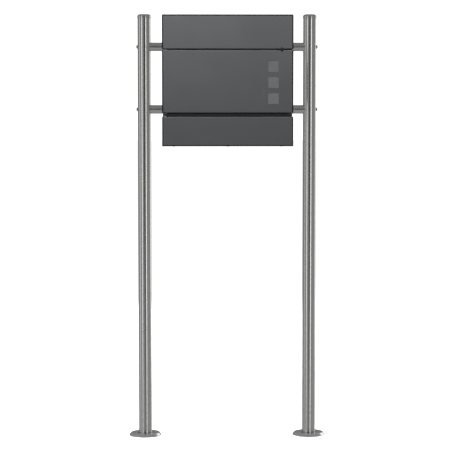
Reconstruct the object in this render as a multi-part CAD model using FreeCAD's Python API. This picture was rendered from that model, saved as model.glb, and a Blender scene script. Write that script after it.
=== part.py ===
"""Freestanding letterbox: a sheet-steel box with a newspaper compartment, carried by two round posts.

Millimetres. X to the right, Y to the back, Z up. The origin is on the floor, midway between the post axes.
"""
import FreeCAD, Part
import math
import os

V = FreeCAD.Vector
X_DIR = V(1, 0, 0)
Y_DIR = V(0, 1, 0)
Z_DIR = V(0, 0, 1)

# ---- Box ----
box_width = 370.0
box_depth = 105.0
box_bottom = 846.0          # height of the box's lower edge above the floor
panel_height = 82.5         # newspaper front panel
recess_height = 11.5        # open strip between the newspaper panel and the door
door_height = 176.0
seam = 3.5                  # gap between the door and the flap
flap_height = 96.5
sheet = 1.2                 # thickness of the box's sheet steel
bend_radius = 2.5           # outer radius of every fold in that sheet
return_depth = 14.0         # folded edges of door, flap and newspaper panel
lip_gap = 0.8               # between the flap's side returns and the body inside them
roof_gap = 1.0              # between the side panels and the flap's roof
front_flange = 12.0         # side panels, front
rear_flange = 14.0          # side panels, rear
floor_drop = 5.5            # mail floor below the door's lower edge
floor_flange = 20.0         # downward flanges of the mail floor
side_overlap = 18.0         # side panels past the mail floor
rail_below = 12.0           # front rail, below the middle of the seam
rail_above = 22.25          # front rail, above it
rail_return = 14.0
tray_flange = 15.0          # rear flange of the newspaper floor
tray_setback = 4.0          # newspaper floor's front edge behind the box front

# ---- Windows in the door ----
window_size = 30.0
window_pitch = 45.0
window_count = 3
window_inset = 56.0         # window centres from the door's right edge
window_drop = 3.0           # middle window below the door's middle
window_corner = 0.8
inlay_margin_x = 5.0
inlay_margin_z = 6.0
inlay_thickness = 1.0
stud_radius = 1.5
stud_length = 6.0
stud_nut_flats = 5.5
stud_nut_height = 2.4

# ---- Door hinge ----
hinge_inset = 6.0           # pivot behind the front face and in from the door's left edge
swing_clearance = 2.0       # between the door's sweep and the body
hinge_pin_radius = 2.0
hinge_pin_reach = 12.0      # pin inside the door
bush_radius = 3.5
bush_length = 9.0
bush_flange_gap = 0.4
bush_flange_play = 0.1
bracket_thickness = 2.0
bracket_bend = 3.0
bracket_length = 22.0
bracket_nose = 4.3          # tab past the pivot
bracket_edge = 0.3          # bracket inside the body's outer face
bracket_rivets_at = (10.0, 17.5)

# ---- Flap hinge ----
rod_radius = 2.0
rod_end = 0.5               # rod past the outer knuckles
hinge_end = 5.0             # knuckles stop short of the box's side
knuckle_count = 7
knuckle_gap = 0.5
knuckle_clearance = 0.4
curl_angle = 285.0

# ---- Buffers ----
buffer_radius = 4.0
buffer_stem_radius = 2.0
buffer_stem_length = 4.0
buffer_gap = 0.3
buffer_round = 1.5
flap_buffer_x = 110.0
door_buffer_x = 60.0
flap_buffer_rise = 3.75     # above the middle of the seam
door_buffer_drop = 4.75     # below it

# ---- Lock ----
lock_inset = 32.2           # lock axis from the box's right side
notch_radius = 6.0          # half-round notches in door and flap
barrel_radius = 5.0
barrel_setback = 0.3
collar_radius = 7.5
collar_thickness = 2.0
lock_nut_flats = 14.0
lock_nut_height = 3.5
barrel_tail = 0.4           # barrel past its nut
plug_radius = 3.3
key_slot_width = 1.2
key_slot_height = 4.6
key_slot_depth = 8.0
cam_play = 0.5
cam_thickness = 2.0
cam_width = 10.0
cam_reach = 23.0
cam_square = 4.4
cam_screw_radius = 1.5
cam_screw_length = 6.0
cam_screw_head_radius = 3.0
cam_screw_head_height = 2.0
cam_screw_socket = 2.0
catch_thickness = 1.5
catch_bend = 2.5
catch_width = 14.0
catch_offset = 5.2          # catch centre to the right of the lock axis
catch_top = 13.75           # catch tab's upper edge below the lock axis
catch_arm = 26.25           # catch arm's upper face below the lock axis
catch_foot = 14.0

# ---- Posts ----
post_gap = 34.0             # between the box's side and a post
post_diameter = 38.0
post_wall = 1.5
post_drop = 7.0             # tube ends below the box's top
cap_overhang = 0.75         # rim past the tube
cap_rim_height = 7.0
cap_dome_height = 5.0
cap_shoulder = 7.75         # run of the dome's shoulder, in from the rim
cap_edge = 0.6
cap_plug_depth = 15.0
cap_wall = 2.5
flange_diameter = 94.0
flange_top_diameter = 84.0
flange_height = 8.5
flange_edge_height = 2.0
flange_foot_chamfer = 0.6
groove_gap = 2.5            # ring gap round the tube
groove_floor = 3.0
spigot_height = 28.0
spigot_chamfer = 1.5
floor_hole_diameter = 6.5
floor_hole_circle = 63.0
floor_hole_count = 4
set_screw_radius = 3.0
set_screw_length = 8.0
set_screw_height = 17.0
set_screw_socket = 3.0
set_screw_sink = 0.5        # below the tube's surface

# ---- Cross tubes ----
cross_diameter = 25.0
cross_wall = 1.5
upper_cross_rise = 9.85     # above the middle of the seam
lower_cross_rise = 13.9     # above the mail floor
plug_length = 30.0
post_screw_radius = 2.5
post_screw_grip = 22.0      # thread inside the cross tube's plug
post_screw_head_radius = 4.75
post_screw_head_height = 2.75
post_screw_socket = 3.0
saddle_washer_radius = 5.5
saddle_washer_thickness = 1.0

# ---- Bolts that hold the box on the cross tubes ----
bolt_x = 130.0
bolt_radius = 3.0
bolt_head_radius = 5.25
bolt_head_height = 3.3
bolt_socket = 4.0
spacer_thickness = 3.0
spacer_radius = 8.0
rear_washer_radius = 7.0
rear_washer_thickness = 1.0
dome_nut_flats = 10.0
dome_nut_height = 5.0
dome_radius = 4.6
dome_neck = 1.5
dome_bore_depth = 8.5
bolt_into_nut = 8.0

# ---- Rivets ----
rivet_radius = 1.6
rivet_head_radius = 3.2
rivet_head_height = 0.9
rivet_tail_radius = 2.3
rivet_tail_length = 3.0
rivet_head_round = 0.54
rear_rivet_inset = 7.0
rear_rivet_count = 4
rear_rivet_margin = 24.0
floor_rivet_inset = 25.0
floor_rivet_drop = 8.0
tray_rivet_inset = 33.0
tray_rivet_depth = 9.0
tray_rivet_height = 9.0

# ---- Button-head screws, as shares of the head's height ----
button_round = 0.7
button_socket_floor = 0.4

# ---- Fits, radial ----
running_fit = 0.05          # pins in bushes, rod in knuckles, plug in barrel
seat_fit = 0.05             # turned plugs in tubes, bushes and rivets in their holes
screw_fit = 0.2             # screws and bolts in clearance holes

# ---- Places that follow from the sizes above ----
half_width = box_width / 2
body_half = half_width - sheet - lip_gap
cross_radius = cross_diameter / 2
post_radius = post_diameter / 2
post_bore = post_radius - post_wall
post_x = half_width + post_gap + post_radius
back_y = -(cross_radius + spacer_thickness)
front_y = back_y - box_depth
panel_top = box_bottom + panel_height
door_bottom = panel_top + recess_height
door_top = door_bottom + door_height
seam_z = door_top + seam / 2
flap_bottom = door_top + seam
box_top = flap_bottom + flap_height
post_top = box_top - post_drop
mail_floor_top = door_bottom - floor_drop
side_bottom = mail_floor_top - side_overlap
side_top = box_top - sheet - roof_gap
lower_cross_z = mail_floor_top + lower_cross_rise
upper_cross_z = seam_z + upper_cross_rise
pivot_x = -half_width + hinge_inset
pivot_y = front_y + hinge_inset
swing_radius = math.hypot(hinge_inset, return_depth - hinge_inset)
frame_y = pivot_y + swing_radius + swing_clearance
rail_y = frame_y + sheet
inner_back_y = back_y - sheet
knuckle_radius = rod_radius + running_fit + sheet
flap_axis_y = back_y - knuckle_radius
flap_axis_z = box_top - knuckle_radius
hinge_half = half_width - hinge_end
hinge_run = knuckle_radius + knuckle_clearance
tab_gap = (seam - bracket_thickness) / 2
lock_x = half_width - lock_inset
lock_nut_y = rail_y + sheet
barrel_end_y = lock_nut_y + lock_nut_height + barrel_tail
cam_y = barrel_end_y + cam_play
cam_rear_y = cam_y + cam_thickness
window_x = half_width - window_inset
window_z = (door_bottom + door_top) / 2 - window_drop
flange_rivet_x = body_half - front_flange / 2
rear_rivet_x = body_half - rear_rivet_inset
overrun = 1.0               # cutting bodies pass the faces they open by this much
through_sheet = 4 * sheet   # reach of a hole's cutting body either side of a folded piece's face
tolerance = 0.01            # edges this close to a plane count as lying in it


# ---- Shape helpers ----
def block(x0, x1, y0, y1, z0, z1):
    """Block between two opposite corners."""
    return Part.makeBox(x1 - x0, y1 - y0, z1 - z0, V(x0, y0, z0))


def cylinder(radius, start, direction, length):
    """Round bar from a start point along a direction."""
    return Part.makeCylinder(radius, length, start, direction)


def aim(shape, position, direction):
    """Copy of a shape that was built along +Z, moved to a position and turned to a direction."""
    placed = shape.copy()
    placed.Placement = FreeCAD.Placement(position, FreeCAD.Rotation(Z_DIR, direction))
    return placed


def spread(first, last, count):
    """Evenly spaced values from first to last."""
    step = (last - first) / (count - 1)
    return [first + step * index for index in range(count)]


def flat_edges(shape, **planes):
    """Edges that lie in every named plane, such as y=front_y."""
    found = []
    for edge in shape.Edges:
        box = edge.BoundBox
        spans = {"x": (box.XMin, box.XMax), "y": (box.YMin, box.YMax), "z": (box.ZMin, box.ZMax)}
        if all(abs(low - planes[name]) < tolerance and abs(high - planes[name]) < tolerance
               for name, (low, high) in spans.items() if name in planes):
            found.append(edge)
    return found


def drill(shape, points, direction, radius, reach):
    """Cut a round hole through each point, to the given reach either side of it."""
    for point in points:
        start = point - V(direction) * reach
        shape = shape.cut(cylinder(radius, start, direction, 2 * reach))
    return shape


def hex_prism(flats, height):
    """Hexagonal prism along +Z from z = 0."""
    corner = flats / math.sqrt(3)
    points = [V(corner * math.cos(math.radians(60 * k)), corner * math.sin(math.radians(60 * k)), 0)
              for k in range(7)]
    return Part.Face(Part.makePolygon(points)).extrude(V(0, 0, height))


def turned(outline):
    """Solid of revolution about Z from lines to (radius, height), or arcs with a point on them put first."""
    edges = []
    here = V(outline[-1][-2], 0, outline[-1][-1])
    for item in outline:
        there = V(item[-2], 0, item[-1])
        if len(item) > 2:
            edges.append(Part.Arc(here, V(item[0], 0, item[1]), there).toShape())
        else:
            edges.append(Part.LineSegment(here, there).toShape())
        here = there
    return Part.Face(Part.Wire(edges)).revolve(V(0, 0, 0), Z_DIR, 360)


def rounded_face(corners, lift):
    """Face inside straight runs with a round corner at each (u, v, radius); lift turns u, v into a point."""
    edges = []
    joints = []
    count = len(corners)
    for index, (u, v, radius) in enumerate(corners):
        before = corners[index - 1]
        after = corners[(index + 1) % count]
        here = V(u, v, 0)
        towards_before = (V(before[0], before[1], 0) - here).normalize()
        towards_after = (V(after[0], after[1], 0) - here).normalize()
        half = towards_before.getAngle(towards_after) / 2
        start = here + towards_before * (radius / math.tan(half))
        end = here + towards_after * (radius / math.tan(half))
        bisector = (towards_before + towards_after).normalize()
        middle = here + bisector * (radius / math.sin(half) - radius)
        joints.append((start, middle, end, radius))
    for index, (start, middle, end, radius) in enumerate(joints):
        next_start = joints[(index + 1) % count][0]
        points = [lift(point.x, point.y) for point in (start, middle, end, next_start)]
        if radius > 0:
            edges.append(Part.Arc(points[0], points[1], points[2]).toShape())
        edges.append(Part.LineSegment(points[2], points[3]).toShape())
    return Part.Face(Part.Wire(edges))


def folded_section(path, thickness, radius):
    """Corners of a strip of folded sheet: right-angle path of its outer face, sheet on the path's left."""
    runs = [V(b[0] - a[0], b[1] - a[1], 0).normalize() for a, b in zip(path, path[1:])]
    lefts = [V(-run.y, run.x, 0) for run in runs]
    outer = []
    inner = []
    for index, (u, v) in enumerate(path):
        at_end = index in (0, len(runs))
        if at_end:
            shift = lefts[min(index, len(runs) - 1)] * thickness
            outer_radius = 0
            inner_radius = 0
        else:
            shift = (lefts[index - 1] + lefts[index]) * thickness
            turns_left = lefts[index - 1].dot(runs[index]) > 0
            outer_radius = radius if turns_left else radius - thickness
            inner_radius = radius - thickness if turns_left else radius
        outer.append((u, v, outer_radius))
        inner.append((u + shift.x, v + shift.y, inner_radius))
    return outer + inner[::-1]


def plan(u, v):
    """Point of a section drawn in plan, at height 0."""
    return V(u, v, 0)


def side_view(u, v):
    """Point of a section drawn from the side, u along Y and v along Z, at x = 0."""
    return V(0, u, v)


def pan(z0, z1):
    """Folded pan over the whole box width: front plate and returns on all four sides, open at the back."""
    outer = block(-half_width, half_width, front_y, front_y + return_depth, z0, z1)
    outer = outer.makeFillet(bend_radius, flat_edges(outer, y=front_y))
    inner = block(-half_width + sheet, half_width - sheet, front_y + sheet, front_y + return_depth + overrun,
                  z0 + sheet, z1 - sheet)
    inner = inner.makeFillet(bend_radius - sheet, flat_edges(inner, y=front_y + sheet))
    return outer.cut(inner)


def tray_block(half_x, y0, y1, z0, z1, radius):
    """Block rounded on every edge but those of its lower rim."""
    body = block(-half_x, half_x, y0, y1, z0, z1)
    rim = flat_edges(body, z=z0)
    folds = [edge for edge in body.Edges if not any(edge.isSame(other) for other in rim)]
    return body.makeFillet(radius, folds)


def button_screw(radius, length, head_radius, head_height, socket):
    """Button-head screw along +Z: shank below z = 0, head above it with a hexagon socket."""
    head = cylinder(head_radius, V(0, 0, 0), Z_DIR, head_height)
    head = head.makeFillet(head_height * button_round, flat_edges(head, z=head_height))
    recess = hex_prism(socket, head_height)
    recess.translate(V(0, 0, head_height * button_socket_floor))
    shank = cylinder(radius, V(0, 0, -length), Z_DIR, length)
    return head.cut(recess).fuse(shank).removeSplitter()


def blind_rivet(point, outward, grip):
    """Set blind rivet: head on the outside at a point, tail past the grip on the inside."""
    head = cylinder(rivet_head_radius, V(0, 0, 0), Z_DIR, rivet_head_height)
    head = head.makeFillet(rivet_head_round, flat_edges(head, z=rivet_head_height))
    shank = cylinder(rivet_radius, V(0, 0, -grip), Z_DIR, grip)
    tail = cylinder(rivet_tail_radius, V(0, 0, -grip - rivet_tail_length), Z_DIR, rivet_tail_length)
    return aim(head.fuse(shank).fuse(tail).removeSplitter(), point, outward)


# ---- Fastener places ----
def rear_rivet_points(side):
    """Rivets that join the back panel to a side panel's rear flange."""
    heights = spread(side_bottom + rear_rivet_margin, flap_axis_z - rear_rivet_margin, rear_rivet_count)
    return [V(side * rear_rivet_x, back_y, z) for z in heights]


def floor_rivet_points(side):
    """Rivets that join a side panel to the mail floor's side flange."""
    z = mail_floor_top - floor_rivet_drop
    return [V(side * body_half, y, z) for y in (frame_y + floor_rivet_inset, back_y - floor_rivet_inset)]


def rail_rivet_points(side):
    """Rivets in a side panel's front flange, through the ends of the front rail."""
    tab_bottom = seam_z - bracket_thickness / 2
    return [V(side * flange_rivet_x, frame_y, tab_bottom + rise) for rise in bracket_rivets_at]


def lower_bracket_rivet_points():
    """Rivets of the lower hinge bracket, through the side panel's flange and the mail floor."""
    tab_top = door_bottom - tab_gap
    return [V(-flange_rivet_x, frame_y, tab_top - drop) for drop in bracket_rivets_at]


def tray_front_points():
    """Rivets that join the newspaper floor to its front panel."""
    return [V(x, front_y + tray_rivet_depth, box_bottom) for x in tray_rivet_columns()]


def tray_rear_points():
    """Rivets that join the newspaper floor to the back panel."""
    return [V(x, back_y, box_bottom + tray_rivet_height) for x in tray_rivet_columns()]


def tray_rivet_columns():
    """Places of the newspaper floor's rivets across the box."""
    return spread(-half_width + tray_rivet_inset, half_width - tray_rivet_inset, 3)


def bolt_points(y):
    """Axes of the four box bolts at a given depth."""
    return [V(x, y, z) for z in (lower_cross_z, upper_cross_z) for x in (-bolt_x, bolt_x)]


def post_screw_points():
    """Places on the outer side of each post where a screw enters, with the side's sign."""
    return [(side, z) for side in (-1, 1) for z in (lower_cross_z, upper_cross_z)]


def buffer_points(x, z):
    """Pair of buffer places on the front rail."""
    return [V(side * x, rail_y, z) for side in (-1, 1)]


# ---- Stand ----
def post_core(side):
    """Solid bar the size of a post's outside, used to cope what meets it."""
    return cylinder(post_radius, V(side * post_x, 0, 0), Z_DIR, post_top)


def post(side):
    """Round tube on its base flange, drilled for the cross-tube screws and the set screw."""
    tube = cylinder(post_radius, V(side * post_x, 0, groove_floor), Z_DIR, post_top - groove_floor)
    tube = tube.cut(cylinder(post_bore, V(side * post_x, 0, 0), Z_DIR, post_top + overrun))
    screw_points = [V(side * post_x, 0, z) for z in (lower_cross_z, upper_cross_z)]
    tube = drill(tube, screw_points, X_DIR, post_screw_radius + screw_fit, post_diameter)
    set_point = V(side * post_x, post_radius, set_screw_height)
    return drill(tube, [set_point], Y_DIR, set_screw_radius + seat_fit, set_screw_length)


def post_cap(side):
    """Domed end cap with a hollow plug inside the tube."""
    rim = post_radius + cap_overhang
    flat = rim - cap_shoulder
    plug = post_bore - seat_fit
    top = cap_rim_height + cap_dome_height
    bend = (cap_dome_height ** 2 + (rim - flat) ** 2) / (2 * cap_dome_height)
    middle = math.asin((rim - flat) / bend) / 2
    shoulder = (flat + bend * math.sin(middle), top - bend * (1 - math.cos(middle)))
    profile = [(0, top), (flat, top), (*shoulder, rim, cap_rim_height)]
    profile += [(rim, cap_edge), (rim - cap_edge, 0), (plug, 0), (plug, cap_edge - cap_plug_depth)]
    profile += [(plug - cap_edge, -cap_plug_depth), (plug - cap_wall, -cap_plug_depth)]
    profile += [(plug - cap_wall, cap_rim_height - cap_wall), (0, cap_rim_height - cap_wall)]
    cap = turned(profile)
    cap.translate(V(side * post_x, 0, post_top))
    return cap


def base_flange(side):
    """Bevelled base disc with a ring groove for the tube, drilled for the floor bolts."""
    foot = flange_diameter / 2
    profile = [(0, 0), (foot - flange_foot_chamfer, 0), (foot, flange_foot_chamfer)]
    profile += [(foot, flange_edge_height)]
    groove = post_radius + groove_gap
    profile += [(flange_top_diameter / 2, flange_height), (groove, flange_height)]
    profile += [(groove, groove_floor), (0, groove_floor)]
    disc = turned(profile)
    step = 2 * math.pi / floor_hole_count
    circle = floor_hole_circle / 2
    holes = [V(circle * math.cos(step * k), circle * math.sin(step * k), 0) for k in range(floor_hole_count)]
    disc = drill(disc, holes, Z_DIR, floor_hole_diameter / 2, flange_height + overrun)
    disc.translate(V(side * post_x, 0, 0))
    return disc


def post_spigots():
    """Turned spigots welded on the base discs inside the tubes, with a threaded hole for the set screw."""
    radius = post_bore - seat_fit
    top = groove_floor + spigot_height
    profile = [(0, groove_floor), (radius, groove_floor), (radius, top - spigot_chamfer)]
    profile += [(radius - spigot_chamfer, top), (0, top)]
    spigot = turned(profile)
    set_point = V(0, radius, set_screw_height)
    spigot = drill(spigot, [set_point], Y_DIR, set_screw_radius + seat_fit, set_screw_length)
    spigots = []
    for side in (-1, 1):
        placed = spigot.copy()
        placed.translate(V(side * post_x, 0, 0))
        spigots.append(placed)
    return Part.makeCompound(spigots)


def flange_set_screws():
    """Set screws in the back of each post, just under the tube's surface."""
    screws = []
    for side in (-1, 1):
        screw = cylinder(set_screw_radius, V(0, 0, -set_screw_length), Z_DIR, set_screw_length)
        recess = hex_prism(set_screw_socket, set_screw_length / 2)
        recess.translate(V(0, 0, -set_screw_length / 2))
        top = V(side * post_x, post_radius - set_screw_sink, set_screw_height)
        screws.append(aim(screw.cut(recess), top, Y_DIR))
    return Part.makeCompound(screws)


def cross_tube(z):
    """Tube between the posts with its ends coped to them, drilled for the box bolts."""
    tube = cylinder(cross_radius, V(-post_x, 0, z), X_DIR, 2 * post_x)
    tube = tube.cut(cylinder(cross_radius - cross_wall, V(-post_x, 0, z), X_DIR, 2 * post_x))
    for side in (-1, 1):
        tube = tube.cut(post_core(side))
    points = [point for point in bolt_points(0) if abs(point.z - z) < overrun]
    return drill(tube, points, Y_DIR, bolt_radius + screw_fit, cross_diameter)


def cross_tube_plugs():
    """Threaded plugs in the ends of both cross tubes, coped like the tubes."""
    plugs = []
    radius = cross_radius - cross_wall - seat_fit
    start = post_x - post_radius - plug_length
    for side, z in post_screw_points():
        plug = cylinder(radius, V(side * start, 0, z), X_DIR * side, post_x - start)
        plug = plug.cut(post_core(side))
        plugs.append(drill(plug, [V(side * start, 0, z)], X_DIR, post_screw_radius + seat_fit, post_x))
    return Part.makeCompound(plugs)


def post_screws():
    """Button-head screws from the outer side of each post into the cross tubes' plugs."""
    seat = post_x + post_radius + saddle_washer_thickness
    length = saddle_washer_thickness + post_diameter + post_screw_grip
    screw = button_screw(post_screw_radius, length, post_screw_head_radius, post_screw_head_height,
                         post_screw_socket)
    places = [(V(side * seat, 0, z), X_DIR * side) for side, z in post_screw_points()]
    return Part.makeCompound([aim(screw, point, outward) for point, outward in places])


def saddle_washers():
    """Washers under the post screws, hollowed to sit on the round posts."""
    washers = []
    for side, z in post_screw_points():
        washer = cylinder(saddle_washer_radius, V(side * post_x, 0, z), X_DIR * side,
                          post_radius + saddle_washer_thickness)
        washer = washer.cut(post_core(side))
        centre = V(side * post_x, 0, z)
        washers.append(drill(washer, [centre], X_DIR, post_screw_radius + screw_fit, post_diameter))
    return Part.makeCompound(washers)


# ---- Box bolts ----
def box_bolts():
    """Button-head bolts from inside the box through the back panel and the cross tubes."""
    length = sheet + spacer_thickness + cross_diameter + rear_washer_thickness + bolt_into_nut
    bolt = button_screw(bolt_radius, length, bolt_head_radius, bolt_head_height, bolt_socket)
    return Part.makeCompound([aim(bolt, point, -Y_DIR) for point in bolt_points(inner_back_y)])


def saddle_spacers():
    """Spacers between the back panel and the cross tubes, hollowed to sit on the tubes."""
    spacers = []
    for point in bolt_points(back_y):
        spacer = cylinder(spacer_radius, point, Y_DIR, -back_y)
        spacer = spacer.cut(cylinder(cross_radius, V(-post_x, 0, point.z), X_DIR, 2 * post_x))
        spacers.append(drill(spacer, [point], Y_DIR, bolt_radius + screw_fit, cross_diameter))
    return Part.makeCompound(spacers)


def rear_saddle_washers():
    """Washers behind the cross tubes, hollowed to sit on them."""
    washers = []
    for point in bolt_points(0):
        washer = cylinder(rear_washer_radius, point, Y_DIR, cross_radius + rear_washer_thickness)
        washer = washer.cut(cylinder(cross_radius, V(-post_x, 0, point.z), X_DIR, 2 * post_x))
        washers.append(drill(washer, [point], Y_DIR, bolt_radius + screw_fit, cross_diameter))
    return Part.makeCompound(washers)


def dome_nuts():
    """Dome nuts on the box bolts, behind the cross tubes."""
    neck_top = dome_nut_height + dome_neck
    nut = hex_prism(dome_nut_flats, dome_nut_height)
    nut = nut.fuse(cylinder(dome_radius, V(0, 0, 0), Z_DIR, neck_top))
    nut = nut.fuse(Part.makeSphere(dome_radius, V(0, 0, neck_top), Z_DIR, 0, 90, 360)).removeSplitter()
    nut = nut.cut(cylinder(bolt_radius + seat_fit, V(0, 0, -overrun), Z_DIR, dome_bore_depth + overrun))
    seat = cross_radius + rear_washer_thickness
    return Part.makeCompound([aim(nut, point, Y_DIR) for point in bolt_points(seat)])


# ---- Body of the box ----
def knuckles(indices, lift):
    """Rolled hinge knuckles at every index, with the stretch of sheet that leads into each."""
    inner = rod_radius + running_fit
    end = math.radians(90 - curl_angle)
    middle = math.radians(90 - curl_angle / 2)

    def on_circle(radius, angle):
        return lift(radius * math.cos(angle), radius * math.sin(angle))

    outer = knuckle_radius
    outer_arc = Part.Arc(lift(0, outer), on_circle(outer, middle), on_circle(outer, end))
    inner_arc = Part.Arc(on_circle(inner, end), on_circle(inner, middle), lift(0, inner))
    edges = [
        Part.LineSegment(lift(-hinge_run, outer), lift(0, outer)).toShape(),
        outer_arc.toShape(),
        Part.LineSegment(on_circle(outer, end), on_circle(inner, end)).toShape(),
        inner_arc.toShape(),
        Part.LineSegment(lift(0, inner), lift(-hinge_run, inner)).toShape(),
        Part.LineSegment(lift(-hinge_run, inner), lift(-hinge_run, outer)).toShape(),
    ]
    face = Part.Face(Part.Wire(edges))
    length = (2 * hinge_half - knuckle_gap * (knuckle_count - 1)) / knuckle_count
    rolled = []
    for index in indices:
        knuckle = face.extrude(V(length, 0, 0))
        knuckle.translate(V(-hinge_half + index * (length + knuckle_gap), 0, 0))
        rolled.append(knuckle)
    return rolled


def back_panel():
    """Rear wall of both compartments, with its share of the flap hinge's knuckles along the top."""
    panel = block(-body_half, body_half, inner_back_y, back_y, box_bottom, flap_axis_z - hinge_run)
    even = range(0, knuckle_count, 2)
    for knuckle in knuckles(even, lambda u, v: V(0, flap_axis_y + v, flap_axis_z + u)):
        panel = panel.fuse(knuckle)
    panel = panel.removeSplitter()
    for side in (-1, 1):
        panel = drill(panel, rear_rivet_points(side), Y_DIR, rivet_radius + seat_fit, through_sheet)
    panel = drill(panel, tray_rear_points(), Y_DIR, rivet_radius + seat_fit, through_sheet)
    return drill(panel, bolt_points(back_y), Y_DIR, bolt_radius + screw_fit, through_sheet)


def side_panel(side):
    """Side wall of the mail compartment with inward flanges, notched for the flap hinge."""
    path = [(body_half - front_flange, frame_y), (body_half, frame_y)]
    path += [(body_half, inner_back_y), (body_half - rear_flange, inner_back_y)]
    section = rounded_face(folded_section(path, sheet, bend_radius), plan)
    panel = section.extrude(V(0, 0, side_top - side_bottom))
    panel.translate(V(0, 0, side_bottom))
    notch = block(body_half - rear_flange - overrun, body_half + overrun, flap_axis_y - hinge_run, back_y,
                  flap_axis_z - hinge_run, box_top)
    panel = panel.cut(notch)
    if side < 0:
        panel = panel.mirror(V(0, 0, 0), X_DIR)
    panel = drill(panel, rear_rivet_points(side), Y_DIR, rivet_radius + seat_fit, through_sheet)
    panel = drill(panel, floor_rivet_points(side), X_DIR, rivet_radius + seat_fit, through_sheet)
    panel = drill(panel, rail_rivet_points(side), Y_DIR, rivet_radius + seat_fit, through_sheet)
    if side < 0:
        panel = drill(panel, lower_bracket_rivet_points(), Y_DIR, rivet_radius + seat_fit, through_sheet)
    return panel


def mail_floor():
    """Floor of the mail compartment: a tray with downward flanges, between the side panels' flanges."""
    wide = body_half - sheet
    rear = inner_back_y - sheet
    rim = mail_floor_top - floor_flange
    outer = tray_block(wide, rail_y, rear, rim, mail_floor_top, bend_radius)
    inner = tray_block(wide - sheet, rail_y + sheet, rear - sheet, rim - overrun, mail_floor_top - sheet,
                       bend_radius - sheet)
    tray = outer.cut(inner)
    for side in (-1, 1):
        tray = drill(tray, floor_rivet_points(side), X_DIR, rivet_radius + seat_fit, through_sheet)
    return drill(tray, lower_bracket_rivet_points(), Y_DIR, rivet_radius + seat_fit, through_sheet)


def front_rail():
    """Rail behind the seam, between the side panels: it carries the lock and the buffers."""
    rail_top = seam_z + rail_above
    path = [(rail_y + rail_return, rail_top), (rail_y, rail_top), (rail_y, seam_z - rail_below)]
    half = body_half - bend_radius
    rail = rounded_face(folded_section(path, sheet, bend_radius), side_view).extrude(V(2 * half, 0, 0))
    rail.translate(V(-half, 0, 0))
    rail = drill(rail, [V(lock_x, rail_y, seam_z)], Y_DIR, barrel_radius + seat_fit, through_sheet)
    for side in (-1, 1):
        rail = drill(rail, rail_rivet_points(side), Y_DIR, rivet_radius + seat_fit, through_sheet)
    stems = buffer_points(flap_buffer_x, seam_z + flap_buffer_rise)
    stems += buffer_points(door_buffer_x, seam_z - door_buffer_drop)
    return drill(rail, stems, Y_DIR, buffer_stem_radius + seat_fit, through_sheet)


def body_rivets():
    """Blind rivets that hold the back panel, side panels, mail floor and the rail's right end together."""
    rivets = []
    for side in (-1, 1):
        rivets += [blind_rivet(point, Y_DIR, 2 * sheet) for point in rear_rivet_points(side)]
        rivets += [blind_rivet(point, X_DIR * side, 2 * sheet) for point in floor_rivet_points(side)]
    rivets += [blind_rivet(point, -Y_DIR, 2 * sheet) for point in rail_rivet_points(1)]
    return Part.makeCompound(rivets)


def buffer(point):
    """Rubber button on the front rail with a stem through it."""
    length = rail_y - (front_y + return_depth) - buffer_gap
    head = cylinder(buffer_radius, V(0, 0, 0), Z_DIR, length)
    head = head.makeFillet(buffer_round, flat_edges(head, z=length))
    stem = cylinder(buffer_stem_radius, V(0, 0, -buffer_stem_length), Z_DIR, buffer_stem_length)
    return aim(head.fuse(stem).removeSplitter(), point, -Y_DIR)


def flap_buffers():
    """Buffers that the closed flap's lower return meets."""
    return Part.makeCompound([buffer(p) for p in buffer_points(flap_buffer_x, seam_z + flap_buffer_rise)])


def door_buffers():
    """Buffers that the closed door's upper return meets."""
    return Part.makeCompound([buffer(p) for p in buffer_points(door_buffer_x, seam_z - door_buffer_drop)])


# ---- Newspaper compartment ----
def newspaper_front_panel():
    """Front of the newspaper compartment."""
    panel = pan(box_bottom, panel_top)
    return drill(panel, tray_front_points(), Z_DIR, rivet_radius + seat_fit, through_sheet)


def newspaper_floor():
    """Floor of the newspaper compartment, open to both sides, with an upward flange at the rear."""
    level = box_bottom + sheet
    path = [(front_y + tray_setback, level), (inner_back_y, level), (inner_back_y, level + tray_flange)]
    tray = rounded_face(folded_section(path, sheet, bend_radius), side_view).extrude(V(2 * body_half, 0, 0))
    tray.translate(V(-body_half, 0, 0))
    tray = drill(tray, tray_front_points(), Z_DIR, rivet_radius + seat_fit, through_sheet)
    return drill(tray, tray_rear_points(), Y_DIR, rivet_radius + seat_fit, through_sheet)


def newspaper_rivets():
    """Rivets of the newspaper floor."""
    rivets = [blind_rivet(point, -Z_DIR, 2 * sheet) for point in tray_front_points()]
    rivets += [blind_rivet(point, Y_DIR, 2 * sheet) for point in tray_rear_points()]
    return Part.makeCompound(rivets)


# ---- Flap ----
def notch_cutter():
    """Round bar along the lock's axis that notches the flap's and the door's meeting edges."""
    return cylinder(notch_radius, V(lock_x, front_y - overrun, seam_z), Y_DIR, return_depth + 2 * overrun)


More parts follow.
